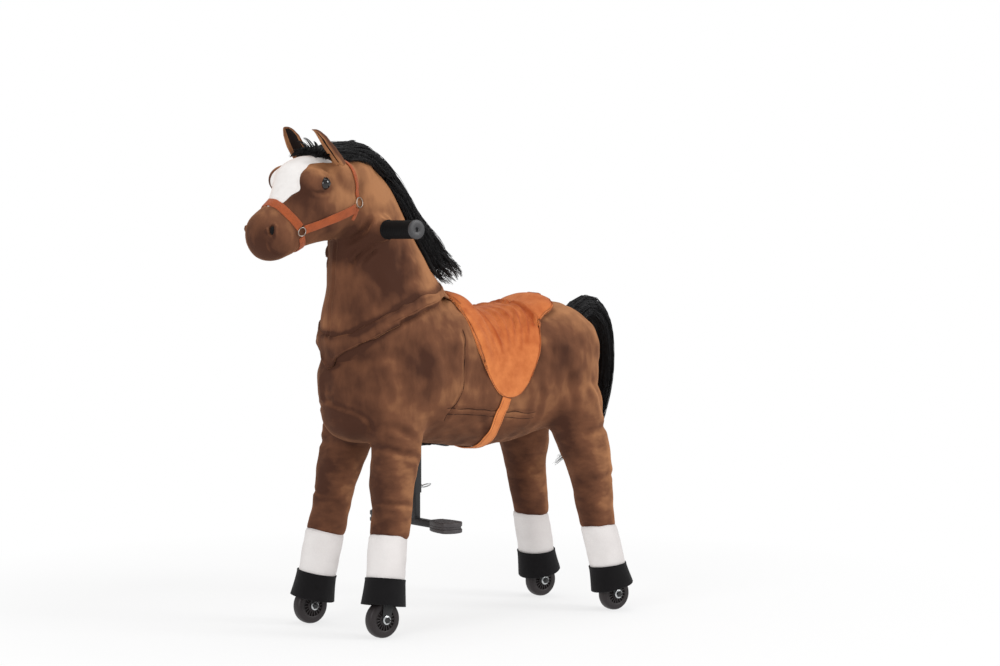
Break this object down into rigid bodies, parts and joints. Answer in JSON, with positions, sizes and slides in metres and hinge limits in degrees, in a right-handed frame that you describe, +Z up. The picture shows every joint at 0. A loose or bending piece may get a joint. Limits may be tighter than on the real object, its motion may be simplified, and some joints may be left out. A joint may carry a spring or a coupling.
{
  "type": "ride-on horse",
  "caption": "Plush ride-on horse on wheels: a steel frame inside swings the legs as the stirrups are pressed, and turning the neck by its grips steers the front wheels.",
  "frame": {"origin": "on the floor under the middle of the horse's outer box, nose to tail and left to right", "axes": "+Z up; the horse faces -Y; +X is its left side, across the width"},
  "size_m": [0.3328, 0.8128, 0.9009],
  "materials": {
    "brown_plush": "short cut plush, matt",
    "white_plush": "short cut plush, matt",
    "black_fabric": "woven black fabric, matt",
    "black_fur": "long straight synthetic fur",
    "orange_cloth": "velour cloth with bound edge",
    "halter_webbing": "flat woven webbing",
    "frame_steel": "black powder coat",
    "bright_steel": "zinc plated",
    "wheel_plastic": "hard dark tread",
    "pedal_plastic": "moulded grey plastic",
    "grip_rubber": "smooth black rubber",
    "eye_plastic": "glossy black",
    "plywood": "plain sanded"
  },
  "bodies": {
    "frame": {"left_side_plate": "frame_steel", "right_side_plate": "frame_steel", "post_guide": "frame_steel", "steering_head": "frame_steel", "seat_board": "plywood", "torso_plush": "brown_plush", "belly_gaiter": "black_fabric", "tail": "black_fur", "saddle_cloth": "orange_cloth", "girth_strap": "orange_cloth"},
    "front_legs": {"front_cross_shaft": "frame_steel", "front_left_leg_tube": "frame_steel", "front_left_leg_plush": "brown_plush", "front_left_sock": "white_plush", "front_left_hoof_cuff": "black_fabric", "front_right_leg_tube": "frame_steel", "front_right_leg_plush": "brown_plush", "front_right_sock": "white_plush", "front_right_hoof_cuff": "black_fabric"},
    "rear_legs": {"rear_cross_shaft": "frame_steel", "rear_left_leg_tube": "frame_steel", "rear_left_fork": "frame_steel", "rear_left_leg_plush": "brown_plush", "rear_left_sock": "white_plush", "rear_left_hoof_cuff": "black_fabric", "rear_right_leg_tube": "frame_steel", "rear_right_fork": "frame_steel", "rear_right_leg_plush": "brown_plush", "rear_right_sock": "white_plush", "rear_right_hoof_cuff": "black_fabric"},
    "stirrup": {"stirrup_post": "frame_steel", "stirrup_tee_bar": "frame_steel", "left_pedal": "pedal_plastic", "right_pedal": "pedal_plastic"},
    "drive_links": {"left_drive_link": "bright_steel", "right_drive_link": "bright_steel"},
    "coupler": {"coupler_rod": "bright_steel"},
    "lock": {"lock_pin": "bright_steel"},
    "neck": {"neck_post": "frame_steel", "handlebar": "frame_steel", "left_grip": "grip_rubber", "right_grip": "grip_rubber", "left_grip_cap": "pedal_plastic", "right_grip_cap": "pedal_plastic", "neck_plush": "brown_plush", "head_plush": "brown_plush", "left_ear": "brown_plush", "right_ear": "brown_plush", "left_eye": "eye_plastic", "right_eye": "eye_plastic", "halter": "halter_webbing", "mane": "black_fur"},
    "front_left_caster": {"front_left_fork": "frame_steel"},
    "front_right_caster": {"front_right_fork": "frame_steel"},
    "front_left_wheel": {"front_left_wheel": "wheel_plastic"},
    "front_right_wheel": {"front_right_wheel": "wheel_plastic"},
    "rear_left_wheel": {"rear_left_wheel": "wheel_plastic"},
    "rear_right_wheel": {"rear_right_wheel": "wheel_plastic"}
  },
  "joints": [
    {"name": "front_leg_swing", "type": "hinge", "parent": "frame", "child": "front_legs", "pos_m": [0, -0.128, 0.465], "axis": [1, 0, 0], "range_deg": [0, 14]},
    {"name": "rear_leg_swing", "type": "hinge", "parent": "frame", "child": "rear_legs", "pos_m": [0, 0.225, 0.465], "axis": [1, 0, 0], "range_deg": [-14, 0]},
    {"name": "stirrup_slide", "type": "slide", "parent": "frame", "child": "stirrup", "axis": [0, 0, -1], "range_m": [0, 0.0445]},
    {"name": "drive_link_pivot", "type": "hinge", "parent": "stirrup", "child": "drive_links", "pos_m": [0, -0.042, 0.4], "axis": [1, 0, 0], "range_deg": [-9.93, 0]},
    {"name": "coupler_rod_pivot", "type": "hinge", "parent": "front_legs", "child": "coupler", "pos_m": [0, -0.128, 0.435], "axis": [1, 0, 0], "range_deg": [-14.35, 0]},
    {"name": "lock_pin_pull", "type": "slide", "parent": "stirrup", "child": "lock", "axis": [0, 1, 0], "range_m": [0, 0.03]},
    {"name": "neck_steer", "type": "hinge", "parent": "frame", "child": "neck", "pos_m": [0, -0.095, 0.525], "axis": [0, -0.342, 0.9397], "range_deg": [-15, 15]},
    {"name": "front_left_caster_steer", "type": "hinge", "parent": "front_legs", "child": "front_left_caster", "pos_m": [0.107, -0.199, 0.033], "axis": [-0.1013, 0.1613, 0.9817], "range_deg": [-15, 15]},
    {"name": "front_right_caster_steer", "type": "hinge", "parent": "front_legs", "child": "front_right_caster", "pos_m": [-0.107, -0.199, 0.033], "axis": [0.1013, 0.1613, 0.9817], "range_deg": [-15, 15]},
    {"name": "front_left_wheel_spin", "type": "hinge", "parent": "front_left_caster", "child": "front_left_wheel", "pos_m": [0.107, -0.199, 0.033], "axis": [1, 0, 0], "continuous": true},
    {"name": "front_right_wheel_spin", "type": "hinge", "parent": "front_right_caster", "child": "front_right_wheel", "pos_m": [-0.107, -0.199, 0.033], "axis": [1, 0, 0], "continuous": true},
    {"name": "rear_left_wheel_spin", "type": "hinge", "parent": "rear_legs", "child": "rear_left_wheel", "pos_m": [0.107, 0.331, 0.03], "axis": [1, 0, 0], "continuous": true},
    {"name": "rear_right_wheel_spin", "type": "hinge", "parent": "rear_legs", "child": "rear_right_wheel", "pos_m": [-0.107, 0.331, 0.03], "axis": [1, 0, 0], "continuous": true}
  ],
  "couplings": [
    {"joint": "rear_leg_swing", "follows": "front_leg_swing", "ratio": -1},
    {"joint": "stirrup_slide", "follows": "front_leg_swing", "m_per_rad": 0.18204},
    {"joint": "drive_link_pivot", "follows": "front_leg_swing", "ratio": -0.70596},
    {"joint": "coupler_rod_pivot", "follows": "front_leg_swing", "ratio": -1.0216},
    {"joint": "front_left_caster_steer", "follows": "neck_steer", "ratio": 1},
    {"joint": "front_right_caster_steer", "follows": "neck_steer", "ratio": 1}
  ]
}
